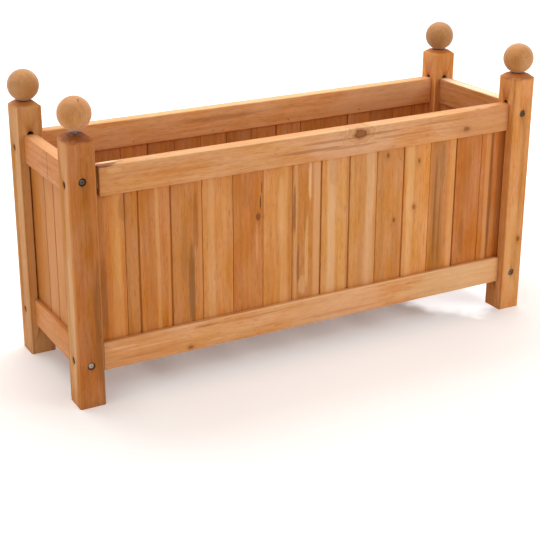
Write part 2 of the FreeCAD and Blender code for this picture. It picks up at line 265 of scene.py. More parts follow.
def wood_colour(tree, flow, cloud, tone, colour, light, dark, russet):
    """The tone as a colour. Sap and heart wood lie side by side, so the hue drifts from straw to russet."""
    ramp = add(tree, "ShaderNodeValToRGB", {0: tone})
    stops = ramp.color_ramp.elements
    stops[0].position = 0.0
    stops[0].color = shade(colour, dark, russet)
    stops[1].position = 1.0
    stops[1].color = shade(colour, light, -0.03)
    stops.new(0.5).color = shade(colour, 1.0)
    stops.new(0.25).color = shade(colour, 0.5 + dark / 2, russet / 2)
    drift = noise(tree, scaled(tree, flow, 17, 140), 2.0, scale=1.3)
    hue = ranged(tree, drift, 0.3, 0.7, 0.4965, 0.5025)
    depth = ranged(tree, cloud, 0.3, 0.7, 1.06, 0.95)
    return add(tree, "ShaderNodeHueSaturation",
               {"Color": ramp.outputs[0], "Hue": hue, "Saturation": depth}).outputs[0]


def wood(name, grain, middle, colour, seed, light=1.17, dark=0.74, ends=0.6, knots=(), streaks=(), stains=(),
         rough=0.55, fuzz=0.0, russet=0.06):
    """Oiled plantation hardwood, planed: fine fibre, broad bands and clouds of tone, growth rings and pores.

    Oil darkens the late wood and leaves a low sheen. Knots bend the fibre round them. Fuzz is the pale nap
    that sanding raises on end grain, and russet is how much redder the dark wood is.
    """
    made, tree = empty_material(name)
    place = add(tree, "ShaderNodeTexCoord")
    centre = grain_point(grain, middle)
    local, seeded = grain_space(tree, place, grain, centre, seed)
    flow = wandering(tree, seeded)
    knot_masks = []
    for point, radius, depth_axis in knots:
        flow, mask = knot(tree, local, flow, grain_point(grain, point) - centre, radius, depth_axis)
        knot_masks.append((mask, min(1.0, 0.45 + 0.1 * radius)))
    fibre, cloud, tone = wood_tone(tree, flow, seeded)
    painted = wood_colour(tree, flow, cloud, tone, colour, light, dark, russet)

    # Open pores hold the oil and read as short dark dashes
    pore = noise(tree, scaled(tree, flow, 0.9, 16), 2.0)
    painted = mixed(tree, ranged(tree, pore, 0.57, 0.66, 0.0, 0.5), painted, shade(colour, 0.45, 0.25))
    for across, width, strength, code in streaks:
        painted = mixed(tree, streak(tree, flow, seed, across, width, strength), painted, linear(code))
    for point, size, code, strength in stains:
        mask = stain(tree, local, grain_point(grain, point) - centre, size, strength)
        painted = mixed(tree, mask, painted, linear(code))
    for mask, depth in knot_masks:
        painted = knot_colour(tree, mask, painted, colour, depth)

    # Sawn ends drink the oil and turn darker
    if ends:
        normal = add(tree, "ShaderNodeSeparateXYZ", {0: place.outputs["Normal"]})
        facing = maths(tree, "ABSOLUTE", normal.outputs[GRAIN_ORDER[grain][2]])
        painted = mixed(tree, ranged(tree, facing, 0.6, 0.7, 0.0, 0.85), painted, shade(colour, ends, 0.3))

    sheen = ranged(tree, fibre, 0.3, 0.7, rough + 0.1, rough - 0.06)
    relief = maths(tree, "MULTIPLY_ADD", pore, -0.6, fibre)
    bump = add(tree, "ShaderNodeBump", {"Height": relief, "Strength": 0.35, "Distance": 0.0004})
    shader = add(tree, "ShaderNodeBsdfPrincipled",
                 {"Base Color": painted, "Roughness": sheen, "Normal": bump.outputs[0], "IOR": 1.48,
                  "Specular IOR Level": 0.22, "Sheen Weight": fuzz, "Sheen Roughness": 0.35})
    add(tree, "ShaderNodeOutputMaterial", {0: shader.outputs[0]})
    return made


def mixed(tree, factor, first, second):
    """The colour socket that mixes two colours."""
    made = add(tree, "ShaderNodeMix", data_type="RGBA")
    for key, value in ((0, factor), (6, first), (7, second)):
        if isinstance(value, bpy.types.NodeSocket):
            tree.links.new(value, made.inputs[key])
        else:
            made.inputs[key].default_value = value
    return made.outputs[2]


def knot(tree, local, flow, centre, radius, depth_axis):
    """Bends the fibre round a knot, and gives its distance field in units of its radius."""
    face = [1.0, 1.0, 0.0]
    face[depth_axis] = 0.0
    oval = face[:2] + [0.62]
    away = vectors(tree, "SUBTRACT", local, tuple(centre))
    flat = vectors(tree, "MULTIPLY", away, tuple(oval))
    uneven = maths(tree, "MULTIPLY_ADD", noise(tree, flat, 2.0, scale=0.9 / radius), 0.9, 0.55)
    reach = maths(tree, "DIVIDE", times(tree, length_of(tree, flat), uneven), radius)
    hold = ranged(tree, reach, 0.0, 4.5, 0.92, 0.0, "SMOOTHERSTEP")
    push = vectors(tree, "MULTIPLY", away, tuple(face))
    return vectors(tree, "SUBTRACT", flow, stretched(tree, push, hold)), reach


def knot_colour(tree, reach, painted, colour, depth):
    """A brown heart, a dark rim and a warm halo round a knot; depth is how dark the rim and the heart are."""
    halo = ranged(tree, reach, 0.9, 2.6, 0.55, 0.0, "SMOOTHSTEP")
    painted = mixed(tree, halo, painted, shade(colour, 0.60, 0.22))
    wave = maths(tree, "SINE", times(tree, reach, 6.5))
    fade = ranged(tree, reach, 1.0, 4.6, 0.42, 0.0)
    lines = maths(tree, "MULTIPLY", wave, fade, use_clamp=True)
    painted = mixed(tree, lines, painted, shade(colour, 0.40, 0.12))
    rim = ranged(tree, reach, 1.12, 0.92, 0.0, 0.9 * depth)
    painted = mixed(tree, rim, painted, shade(colour, 0.17, 0.45))
    heart = ranged(tree, reach, 0.86, 0.55, 0.0, 0.75 * depth)
    return mixed(tree, heart, painted, shade(colour, 0.34, 0.45))


def streak(tree, flow, seed, across, width, strength):
    """A mask that follows the fibre at a distance across from the piece's middle."""
    split = add(tree, "ShaderNodeSeparateXYZ", {0: flow})
    offset = maths(tree, "SUBTRACT", split.outputs[0], seed * SEED_STEPS[0] + across)
    offset = maths(tree, "ABSOLUTE", offset)
    return ranged(tree, offset, width * 0.25, width * 0.75, strength, 0.0, "SMOOTHSTEP")


def stain(tree, local, centre, size, strength):
    """A ragged mask round a point, with its half widths along the vector's own axes."""
    away = vectors(tree, "SUBTRACT", local, tuple(centre))
    away = vectors(tree, "MULTIPLY", away, tuple(1 / s for s in size))
    reach = maths(tree, "MULTIPLY_ADD", noise(tree, away, 3.0, scale=2.2), 0.9, length_of(tree, away))
    return ranged(tree, reach, 1.0, 1.45, strength, 0.0, "SMOOTHSTEP")


# How the wooden pieces' edges are rounded: vertices closer than this are one, faces within this angle are
# flat, and only edges this long and this sharp are rounded
SAME_POINT = 0.01 * MM
FLAT_ANGLE = 0.002
SHORTEST_ARRIS = 14.0 * MM
SHARP_ANGLE = math.radians(24)
SMOOTH_ANGLE = math.radians(30)


def eased(node):
    """A copy of a packed wooden piece with its edges rounded, which stands for it."""
    packed = frame["nodes"][node]
    mesh = packed.data.copy()
    mesh.materials.clear()
    piece = bpy.data.objects.new(node + "_eased", mesh)
    bpy.context.scene.collection.objects.link(piece)
    shape = bmesh.new()
    shape.from_mesh(mesh)
    bmesh.ops.remove_doubles(shape, verts=shape.verts, dist=SAME_POINT)
    bmesh.ops.dissolve_limit(shape, angle_limit=FLAT_ANGLE, verts=shape.verts, edges=shape.edges)
    width = bpy.context.scene.planter_wood.arris
    sharp = [e for e in shape.edges
             if e.is_manifold and e.calc_length() > SHORTEST_ARRIS and e.calc_face_angle(0.0) > SHARP_ANGLE]
    bmesh.ops.bevel(shape, geom=sharp, offset=width, segments=2, profile=0.5, affect="EDGES",
                    clamp_overlap=True)
    for face in shape.faces:
        face.smooth = True
    bmesh.ops.triangulate(shape, faces=shape.faces)
    shape.to_mesh(mesh)
    shape.free()
    mesh.shade_smooth()
    mesh.set_sharp_from_angle(angle=SMOOTH_ANGLE)
    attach(piece, packed["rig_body"])
    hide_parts(node)
    return piece


def middle(node):
    """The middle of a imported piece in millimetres."""
    low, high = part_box(node)
    return (low + high) / 2 / MM


def dress(piece, material):
    piece.data.materials.clear()
    piece.data.materials.append(material)


# Tone is a factor on the common colour, then how red it is. A stain is a point, its half widths in
# millimetres across, across the other way and along the grain, a colour and a strength. A knot is a point, a
# radius and which of those three ways leads into the wood. The pale stains along arrises and on top faces are
# painted highlights, and the dark stains in holes and in the gaps at the rails' ends are painted shade.
POST_DETAILS = {
    "front_left": {"seed": 1.3, "tone": (0.68, 0.17), "ends": 0.42, "stains": [
        ((-365.0, -126.0, 120.0), (8.0, 8.0, 130.0), "#6B4222", 0.45),
        # Painted light: the left face is painted paler, as the side the lamps light most
        ((-400.0, -106.0, 250.0), (1.5, 19.0, 400.0), "#C98B47", 0.7),
        ((-400.0, -106.0, 120.0), (1.5, 19.0, 140.0), "#DDB684", 0.35),
        ((-380.0, -106.0, 402.0), (30.0, 30.0, 11.0), "#7E3A14", 0.75),
        # Painted highlight along the front left arris
        ((-399.0, -125.0, 200.0), (2.0, 2.0, 420.0), "#D9994F", 0.3),
        # Painted shade on the inner face, in the gap beside the top rail's end
        ((-360.0, -113.0, 336.0), (2.5, 10.0, 42.0), "#3A1D0C", 0.85),
        # Painted highlight along the front right arris
        ((-361.0, -125.0, 200.0), (1.6, 2.0, 420.0), "#C48A4C", 0.6),
        ((-361.0, -124.0, 385.0), (3.0, 3.0, 40.0), "#7A4A24", 0.4)]},
    "front_right": {"seed": 2.9, "tone": (1.10, -0.02), "ends": 0.56, "knots": [
        ((389.4, -126.0, 124.0), 2.6, 1)], "stains": [
        ((361.0, -125.0, 200.0), (2.0, 2.4, 420.0), "#8A5424", 0.35),
        ((380.0, -126.0, 100.0), (19.0, 1.5, 110.0), "#E2AC6C", 0.35),
        ((380.0, -106.0, 402.0), (30.0, 30.0, 11.0), "#7E3A14", 0.6)]},
    "back_left": {"seed": 4.1, "tone": (0.97, -0.09), "ends": 0.62, "stains": [
        ((-380.0, 86.0, 200.0), (19.0, 1.5, 400.0), "#E2B078", 0.3),
        # Painted highlight along the front left arris
        ((-399.0, 87.0, 200.0), (2.2, 2.2, 420.0), "#EBC08A", 0.45)]},
    "back_right": {"seed": 5.7, "tone": (1.05, 0.0), "ends": 0.58},
}


# Screw holes and the open tops of the slots in the front left post: place and half widths, their insides
# painted dark as shade
POST_HOLES = (
    ((-396.4, -106.0, 335.8), (3.2, 10.0, 10.0)), ((-396.4, -106.0, 71.2), (3.2, 10.0, 10.0)),
    ((-380.0, -122.4, 341.8), (10.0, 3.2, 10.0)), ((-380.0, -122.4, 65.2), (10.0, 3.2, 10.0)),
    ((-365.0, -105.8, 360.0), (5.5, 9.0, 9.0)), ((-379.8, -91.0, 360.0), (9.0, 5.5, 9.0)),
)


def painted_hole_shade(corner):
    """Painted shade in the insides of one post's holes, as stains."""
    side = 1 if "left" in corner else -1
    face = 1 if "front" in corner else -1
    return [((x * side, y * face, z), size, "#2A170A", 0.92) for (x, y, z), size in POST_HOLES]


class PLANTER_OT_posts(bpy.types.Operator):
    """Round the arrises of the four posts and oil them"""
    bl_idname = "planter.posts"
    bl_label = "Posts"

    def execute(self, context):
        colour = tuple(context.scene.planter_wood.post_colour)
        for corner in CORNERS:
            node = corner + "_post"
            detail = dict(POST_DETAILS[corner])
            tone, warmth = detail.pop("tone")
            # The painted shade in the holes joins the post's own stains
            detail["stains"] = detail.get("stains", []) + painted_hole_shade(corner)
            made = wood("Oiled acacia post, planed, " + corner.replace("_", " "), "Z", middle(node),
                        shade(colour, tone, warmth), **detail)
            dress(eased(node), made)
        return {"FINISHED"}


RAIL_DETAILS = {
    "front_top_rail": {"seed": 7.2, "tone": (0.99, -0.02), "knots": [
        ((74.6, -116.5, 347.0), 6.6, 0), ((275.6, -116.5, 328.0), 3.2, 0)], "stains": [
        ((310.0, -116.5, 336.0), (6.0, 40.0, 90.0), "#BF7D4D", 0.35),
        ((60.0, -116.5, 336.0), (6.0, 40.0, 100.0), "#E0B494", 0.35),
        # Painted highlight along the top front arris
        ((0.0, -116.3, 357.2), (1.9, 1.9, 420.0), "#F4CB94", 0.75),
        # Painted highlight on the top face
        ((0.0, -105.0, 358.0), (14.0, 1.6, 500.0), "#F4D2A4", 0.12),
        # Painted shade on the tongue, in the gap at the left end
        ((-364.0, -111.0, 335.0), (8.0, 60.0, 12.0), "#34190A", 0.92),
        # A torn chip that has no hollow in the mesh: the dark patch paints the shade in the hollow and the
        # cream patch a highlight on its far lip
        ((-345.0, -111.0, 357.5), (9.0, 4.0, 26.0), "#86451E", 0.9),
        ((-334.0, -99.5, 357.5), (4.5, 3.0, 20.0), "#F6D6A4", 0.85),
        ((-322.0, -106.0, 357.5), (1.8, 2.0, 14.0), "#7E4A24", 0.7),
        ((-330.0, -116.5, 349.0), (3.0, 5.0, 15.0), "#E5AE74", 0.45),
        ((-15.0, -116.5, 332.0), (3.0, 3.0, 70.0), "#96562E", 0.5),
        ((20.0, -116.5, 342.0), (3.0, 2.4, 60.0), "#9C5C36", 0.5),
        ((55.0, -116.5, 329.0), (3.0, 2.4, 60.0), "#A4663E", 0.45),
        ((110.0, -116.5, 344.0), (3.0, 2.6, 50.0), "#945430", 0.5),
        ((150.0, -116.5, 335.0), (3.0, 2.4, 70.0), "#A4663E", 0.45),
        ((220.0, -116.5, 346.0), (3.0, 2.2, 60.0), "#A4663E", 0.45),
        ((240.0, -116.5, 334.0), (3.0, 2.2, 40.0), "#AC6C44", 0.4),
        ((330.0, -114.5, 357.0), (2.6, 1.4, 18.0), "#7E4820", 0.5),
        ((297.0, -114.5, 357.0), (2.2, 1.2, 9.0), "#7E4820", 0.45)]},
    "front_bottom_rail": {"seed": 8.8, "tone": (1.14, -0.06), "knots": [
        ((-218.0, -116.5, 56.0), 2.4, 0)], "stains": [
        ((270.0, -116.5, 71.0), (6.0, 40.0, 130.0), "#DFBA8B", 0.4),
        ((30.0, -116.5, 71.0), (6.0, 40.0, 110.0), "#E6B68C", 0.35),
        ((-300.0, -116.5, 71.0), (6.0, 40.0, 80.0), "#D4894D", 0.4),
        # Painted highlight along the top front arris
        ((0.0, -116.3, 92.8), (1.9, 1.9, 420.0), "#F0C48E", 0.6),
        # Painted shade on the tongue, in the gap at the left end
        ((-359.0, -116.5, 71.0), (4.0, 60.0, 3.4), "#6E3314", 0.85),
        ((-190.0, -116.5, 86.0), (3.0, 2.4, 26.0), "#A85E32", 0.55),
        ((-330.0, -116.5, 80.0), (3.0, 2.2, 30.0), "#F0BE8A", 0.5),
        ((-290.0, -116.5, 74.0), (3.0, 1.4, 50.0), "#F0C08E", 0.45),
        ((-300.0, -116.5, 62.0), (3.0, 2.4, 50.0), "#B86C40", 0.45),
        ((-120.0, -116.5, 84.0), (3.0, 2.0, 60.0), "#BC7448", 0.4),
        ((40.0, -116.5, 60.0), (3.0, 2.6, 90.0), "#BC7A4C", 0.35)]},
    "back_top_rail": {"seed": 9.4, "tone": (1.2, -0.07), "stains": [
        ((240.0, 95.5, 336.0), (6.0, 40.0, 120.0), "#E8B88C", 0.35),
        ((-60.0, 95.5, 340.0), (6.0, 5.0, 90.0), "#9A5630", 0.35),
        # Painted highlight along the top back arris
        ((0.0, 116.3, 357.2), (2.2, 2.2, 420.0), "#FBE3BE", 0.8),
        # Painted highlight on the top face
        ((0.0, 106.0, 358.0), (14.0, 1.6, 500.0), "#FBE3BE", 0.15)]},
    "back_bottom_rail": {"seed": 10.1, "tone": (1.0, 0.0)},
    "left_top_rail": {"seed": 11.6, "tone": (0.74, 0.15), "stains": [
        ((-390.5, -13.5, 335.0), (6.0, 60.0, 0.9), "#5A3215", 0.75),
        # Painted highlight on the top face
        ((-380.0, 0.0, 358.0), (14.0, 1.6, 300.0), "#F0C896", 0.25),
        ((-390.5, 20.0, 345.0), (3.0, 2.2, 60.0), "#B06A34", 0.5)]},
    "left_bottom_rail": {"seed": 12.3, "tone": (0.79, 0.11)},
    "right_top_rail": {"seed": 13.9, "tone": (0.72, 0.06), "stains": [
        # Painted highlight on the top face
        ((380.0, 0.0, 358.2), (14.0, 2.0, 300.0), "#FBE3BE", 0.75)]},
    "right_bottom_rail": {"seed": 14.4, "tone": (1.0, 0.0)},
}


class PLANTER_OT_rails(bpy.types.Operator):
    """Round the edges of the eight rails and oil them"""
    bl_idname = "planter.rails"
    bl_label = "Rails"

    def execute(self, context):
        colour = tuple(context.scene.planter_wood.rail_colour)
        for node, entry in RAIL_DETAILS.items():
            detail = dict(entry)
            tone, warmth = detail.pop("tone")
            grain = "X" if node.startswith(("front", "back")) else "Y"
            made = wood("Oiled acacia rail, planed, " + node.replace("_", " "), grain, middle(node),
                        shade(colour, tone, warmth), light=1.19, dark=0.70, russet=0.16, **detail)
            dress(eased(node), made)
        return {"FINISHED"}


# Tone of each front board against the common colour, then how red it is
FRONT_BOARD_TONES = (
    (0.98, 0.07), (0.92, -0.01), (0.90, 0.08), (0.94, 0.01), (1.14, -0.06),
    (0.87, 0.09), (1.18, -0.07), (0.98, -0.02), (1.34, -0.15), (1.19, -0.12),
    (1.05, -0.05), (1.27, -0.09), (1.08, 0.0), (0.76, 0.15), (0.79, 0.15),
)
BACK_BOARD_TONES = (0.92, 1.0, 0.86, 0.96, 1.02, 0.9)
FRONT_BOARD_FACE = -108.7
# Knots by board face: along X, height and radius
BOARD_KNOTS = (
    (-99.0, 240.0, 3.4), (132.0, 302.0, 2.2), (191.6, 285.0, 2.2), (185.0, 209.0, 2.4), (147.0, 193.0, 2.2),
)
# Bands that run the length of a front board: across from its middle, width, strength and colour
BOARD_STREAKS = {
    1: ((-16.0, 14.0, 0.32, "#8E5622"), (9.0, 16.0, 0.36, "#DE9F58")),
    3: ((2.0, 5.0, 0.43, "#E2AC6A"), (18.0, 5.0, 0.36, "#D99A56"), (-12.0, 16.0, 0.18, "#A8682E")),
    4: ((20.0, 8.0, 0.43, "#D88E48"), (-19.0, 7.0, 0.29, "#C98A50")),
    5: ((-14.0, 10.0, 0.25, "#EDBD86"),),
    7: ((8.0, 12.0, 0.25, "#EDBB80"), (21.0, 5.0, 0.36, "#B06A2C")),
    8: ((16.0, 12.0, 0.45, "#EAB884"), (-22.0, 6.0, 0.40, "#E6B07A")),
    9: ((-10.0, 16.0, 0.35, "#F2CCA6"), (20.0, 4.0, 0.36, "#B9733A")),
    10: ((-6.0, 5.0, 0.32, "#C2805A"), (10.0, 16.0, 0.32, "#EFC8A0")),
    11: ((-16.0, 12.0, 0.25, "#B77C46"),),
    12: ((-15.0, 12.0, 0.30, "#F3C990"),),
    13: ((-10.0, 30.0, 0.45, "#8C5A24"), (19.0, 12.0, 0.40, "#E0A668")),
    14: ((-10.0, 14.0, 0.25, "#C07838"),),
    15: ((-12.0, 8.0, 0.43, "#DCA061"), (-3.0, 5.0, 0.50, "#5E3214"), (14.0, 12.0, 0.36, "#8A4A20")),
}
# Marks on the front boards: along X and height, half widths across and along the grain, colour and strength
BOARD_MARKS = (
    (-349.0, 160.0, 7.0, 75.0, "#7E4C1E", 0.40), (-326.0, 215.0, 6.0, 60.0, "#E5AC66", 0.36),
    (-318.0, 290.0, 6.0, 26.0, "#8E5A2A", 0.36), (-210.0, 150.0, 7.0, 85.0, "#5E3E16", 0.54),
    (-203.0, 250.0, 5.0, 60.0, "#7A542C", 0.36), (-222.0, 200.0, 7.0, 60.0, "#9C6E44", 0.32),
    (-95.0, 262.0, 1.3, 14.0, "#3A1E0C", 0.90), (-93.0, 285.0, 1.1, 12.0, "#45240F", 0.80),
    (-101.0, 200.0, 3.0, 40.0, "#E8A868", 0.40), (-120.0, 280.0, 10.0, 34.0, "#A5622C", 0.36),
    (-110.0, 150.0, 10.0, 50.0, "#D08C48", 0.29), (-60.0, 250.0, 7.0, 60.0, "#E9B87C", 0.29),
    (-9.0, 284.0, 3.2, 44.0, "#F4D29A", 0.50), (-14.0, 165.0, 4.0, 75.0, "#F0C488", 0.38),
    (-36.0, 240.0, 3.0, 50.0, "#6E3C28", 0.62), (-29.0, 150.0, 3.2, 42.0, "#7E4830", 0.58),
    (-22.0, 115.0, 8.0, 20.0, "#E9B87E", 0.43), (-18.0, 225.0, 3.0, 30.0, "#A0622E", 0.40),
    (33.0, 290.0, 10.0, 30.0, "#B87A48", 0.32), (85.0, 130.0, 8.0, 45.0, "#BE7E52", 0.25),
    (150.0, 150.0, 9.0, 60.0, "#AE7440", 0.29), (226.0, 190.0, 3.0, 120.0, "#5E3A10", 0.45),
    (236.0, 160.0, 2.5, 90.0, "#6A4216", 0.40), (238.0, 270.0, 6.0, 40.0, "#8A6236", 0.36),
    (290.0, 240.0, 8.0, 70.0, "#A4602A", 0.29), (282.0, 140.0, 7.0, 40.0, "#8C4E1E", 0.36),
    (336.0, 200.0, 3.0, 120.0, "#5A3012", 0.43),
)


# Tones that set the left end's boards apart, and the dark seams between them: along Y, half widths into the
# board and across, colour and strength
END_BOARD_FACE = -382.7
END_BOARD_MARKS = (
    (57.0, 6.0, 36.0, "#B4722E", 0.4), (11.0, 6.0, 24.0, "#CE9058", 0.45),
    (-34.0, 6.0, 32.0, "#D69A5E", 0.35), (30.0, 4.0, 1.1, "#4E2B10", 0.8),
    (-8.5, 4.0, 1.1, "#4E2B10", 0.8), (-59.2, 4.0, 1.1, "#4E2B10", 0.8),
)


class PLANTER_OT_boards(bpy.types.Operator):
    """Ease the tongue and groove boards and oil each in its own tone"""
    bl_idname = "planter.boards"
    bl_label = "Boards"

    def execute(self, context):
        colour = tuple(context.scene.planter_wood.board_colour)
        for number, (factor, warmth) in enumerate(FRONT_BOARD_TONES, 1):
            node = "front_board_%02d" % number
            low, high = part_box(node)
            knots = [((x, FRONT_BOARD_FACE, z), radius, 1)
                     for x, z, radius in BOARD_KNOTS if low.x < x * MM < high.x]
            marks = [((x, FRONT_BOARD_FACE, z), (wide, 5.0, long), code, strength)
                     for x, z, wide, long, code, strength in BOARD_MARKS if low.x < x * MM < high.x]
            made = wood("Oiled acacia board, machined, " + node[-2:], "Z", middle(node),
                        shade(colour, factor, warmth), 20.0 + number * 1.7, knots=knots,
                        streaks=BOARD_STREAKS.get(number, ()), stains=marks)
            dress(eased(node), made)
        for number in range(1, 17):
            node = "back_board_%02d" % number
            factor = BACK_BOARD_TONES[number % len(BACK_BOARD_TONES)]
            made = wood("Oiled acacia back board, machined, " + node[-2:], "Z", middle(node),
                        shade(colour, factor), 50.0 + number * 2.3)
            dress(eased(node), made)
        marks = [((END_BOARD_FACE, y, 200.0), (deep, wide, 400.0), code, strength)
                 for y, deep, wide, code, strength in END_BOARD_MARKS]
        for number, (node, stains) in enumerate((("left_end_boards", marks), ("right_end_boards", ()))):
            made = wood("Oiled acacia end boards, machined, " + node[:5].strip("_"), "Z", middle(node),
                        shade(colour, 0.88, 0.02), 90.0 + number * 3.1, stains=stains)
            dress(eased(node), made)
        return {"FINISHED"}


class PLANTER_OT_base(bpy.types.Operator):
    """Ease the slats and ledgers of the base, which were left sawn"""
    bl_idname = "planter.base"
    bl_label = "Base"

    def execute(self, context):
        colour = tuple(context.scene.planter_wood.base_colour)
        for node, grain, seed in (("base_slats", "Y", 101.0), ("base_ledgers", "X", 103.0)):
            made = wood("Sawn acacia base, " + node.replace("_", " "), grain, middle(node), colour, seed,
                        rough=0.68)
            dress(eased(node), made)
        return {"FINISHED"}


# ---------------------------------------------------------------- finials

SEAT_RADIUS = 6.5 * MM
SEAT_EDGE_ANGLE = math.radians(40)


def turned_ball(context, node):
    """A ball turned smooth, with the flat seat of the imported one."""
    finial = context.scene.planter_finial
    low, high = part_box(node)
    tall = high.z - low.z
    radius = (tall ** 2 + SEAT_RADIUS ** 2) / (2 * tall)
    drop = tall - radius
    centre = Vector(((low.x + high.x) / 2, (low.y + high.y) / 2, low.z + drop))
    shape = bmesh.new()
    bmesh.ops.create_uvsphere(shape, u_segments=finial.ball_segments, v_segments=finial.ball_rings,
                              radius=radius)
    below = bmesh.ops.bisect_plane(shape, geom=shape.verts[:] + shape.edges[:] + shape.faces[:],
                                   plane_co=(0, 0, -drop), plane_no=(0, 0, -1), clear_outer=True)
    rim = [g for g in below["geom_cut"] if isinstance(g, bmesh.types.BMEdge)]
    bmesh.ops.contextual_create(shape, geom=rim)
    bmesh.ops.recalc_face_normals(shape, faces=shape.faces)
    mesh = bpy.data.meshes.new(node + "_turned")
    shape.to_mesh(mesh)
    shape.free()
    mesh.transform(Matrix.Translation(centre))
    mesh.shade_smooth()
    mesh.set_sharp_from_angle(angle=SEAT_EDGE_ANGLE)
    piece = bpy.data.objects.new(node + "_turned", mesh)
    context.scene.collection.objects.link(piece)
    return piece


# Tone of each ball, then how red it is
BALL_TONES = ((1.02, 0.07), (1.0, 0.02), (0.95, 0.0), (0.84, 0.0))


class PLANTER_OT_balls(bpy.types.Operator):
    """Turn the four balls smooth"""
    bl_idname = "planter.balls"
    bl_label = "Finial balls"

    def execute(self, context):
        colour = tuple(context.scene.planter_finial.ball_colour)
        for number, corner in enumerate(CORNERS):
            node = corner + "_finial_ball"
            piece = turned_ball(context, node)
            scratch = [((-378.0, -118.5, 455.0), (1.1, 6.0, 3.4), "#4E2C12", 0.85)] if number == 0 else ()
            made = wood("Turned and sanded acacia ball, " + corner.replace("_", " "), "Z", middle(node),
                        shade(colour, *BALL_TONES[number]), 110.0 + number * 4.7, light=1.18, dark=0.78,
                        ends=0.0, stains=scratch, rough=0.6, fuzz=0.45)
            dress(piece, made)
            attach(piece, corner + "_ball")
            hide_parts(node)
        return {"FINISHED"}


# ---------------------------------------------------------------- steel

# Front heads lie ahead of this, in metres along Y, and no head is as high as this
FRONT_HEADS = -0.1
ABOVE_ALL = 9.0


def steel(name, code, rough, wear, painted_shade_above=ABOVE_ALL):
    """Zinc plated steel, tumbled: a bright grey metal with a faint uneven bloom.

    Front heads above a height, in metres, are painted dark as the shade in their holes, and the ones on the
    right are darker.
    """
    made, tree = empty_material(name)
    place = add(tree, "ShaderNodeTexCoord").outputs["Object"]
    bloom = noise(tree, place, 3.0, scale=900.0)
    tint = mixed(tree, bloom, shade(linear(code), 1 - wear), shade(linear(code), 1 + wear))
    spot = add(tree, "ShaderNodeSeparateXYZ", {0: place})
    # Painted shade: front heads above the height are darkened for the shade in their deep holes
    high = maths(tree, "GREATER_THAN", spot.outputs[2], painted_shade_above)
    front = maths(tree, "LESS_THAN", spot.outputs[1], FRONT_HEADS)
    tint = mixed(tree, times(tree, high, front), tint, shade(linear(code), 0.2, 0.1))
    right = maths(tree, "GREATER_THAN", spot.outputs[0], 0.0)
    tint = mixed(tree, times(tree, right, 0.7), tint, shade(linear(code), 0.18, 0.1))
    sheen = ranged(tree, bloom, 0.3, 0.7, rough - 0.08, rough + 0.1)
    bump = add(tree, "ShaderNodeBump", {"Height": bloom, "Strength": 0.15, "Distance": 0.0001})
    shader = add(tree, "ShaderNodeBsdfPrincipled",
                 {"Base Color": tint, "Metallic": 1.0, "Roughness": sheen, "Normal": bump.outputs[0]})
    add(tree, "ShaderNodeOutputMaterial", {0: shader.outputs[0]})
    return made


def tree_with_inputs(name, sizes):
    """An empty Geometry Nodes tree that takes a mesh of points and the named sizes."""
    tree = bpy.data.node_groups.new(name, "GeometryNodeTree")
    tree.interface.new_socket("Geometry", in_out="INPUT", socket_type="NodeSocketGeometry")
    for label in sizes:
        tree.interface.new_socket(label, in_out="INPUT", socket_type="NodeSocketFloat")
    tree.interface.new_socket("Geometry", in_out="OUTPUT", socket_type="NodeSocketGeometry")
    return tree, add(tree, "NodeGroupInput")


def grown_on(context, name, tree, sizes, places):
    """The plain mesh that a tree makes on points that face along a direction."""
    mesh = bpy.data.meshes.new(name)
    mesh.from_pydata([place for place, direction in places], [], [])
    facing = mesh.attributes.new("facing", "FLOAT_VECTOR", "POINT")
    for index, (place, direction) in enumerate(places):
        facing.data[index].vector = direction
    piece = bpy.data.objects.new(name, mesh)
    context.scene.collection.objects.link(piece)
    modifier = piece.modifiers.new(name, "NODES")
    modifier.node_group = tree
    sockets = {item.name: item.identifier for item in tree.interface.items_tree if item.in_out == "INPUT"}
    for label, value in sizes.items():
        modifier[sockets[label]] = value
    context.view_layer.update()
    plain = bpy.data.meshes.new_from_object(piece.evaluated_get(context.evaluated_depsgraph_get()))
    piece.modifiers.clear()
    piece.data = plain
    plain.name = name
    if not plain.polygons:
        raise RuntimeError(name + " came out empty")
    return piece


def finish_tree(tree, shape, source, material):
    """Puts a shape on every point, turned along its facing direction, and ends the tree."""
    facing = add(tree, "GeometryNodeInputNamedAttribute", {"Name": "facing"}, data_type="FLOAT_VECTOR")
    turn = add(tree, "FunctionNodeAlignRotationToVector", {"Vector": facing.outputs[0]}, axis="Z")
    placed = add(tree, "GeometryNodeInstanceOnPoints",
                 {"Points": source.outputs["Geometry"], "Instance": shape, "Rotation": turn.outputs[0]})
    real = add(tree, "GeometryNodeRealizeInstances", {0: placed.outputs[0]})
    dressed = add(tree, "GeometryNodeSetMaterial", {"Geometry": real.outputs[0], "Material": material})
    add(tree, "NodeGroupOutput", {0: dressed.outputs[0]})


def vector_of(tree, x, y, z):
    return add(tree, "ShaderNodeCombineXYZ", {0: x, 1: y, 2: z}).outputs[0]


def raised(tree, shape, height):
    """A shape moved up by a height."""
    return add(tree, "GeometryNodeTransform",
               {"Geometry": shape, "Translation": vector_of(tree, 0.0, 0.0, height)}).outputs[0]


def joined(tree, *shapes):
    whole = add(tree, "GeometryNodeJoinGeometry")
    for shape in shapes:
        tree.links.new(shape, whole.inputs[0])
    return whole.outputs[0]


SCREW_SIZES = {"Head width": "head_width", "Head height": "head_height", "Shank width": "shank_width",
               "Shank length": "shank_length", "Recess width": "recess_width", "Recess arm": "recess_arm",
               "Recess depth": "recess_depth"}


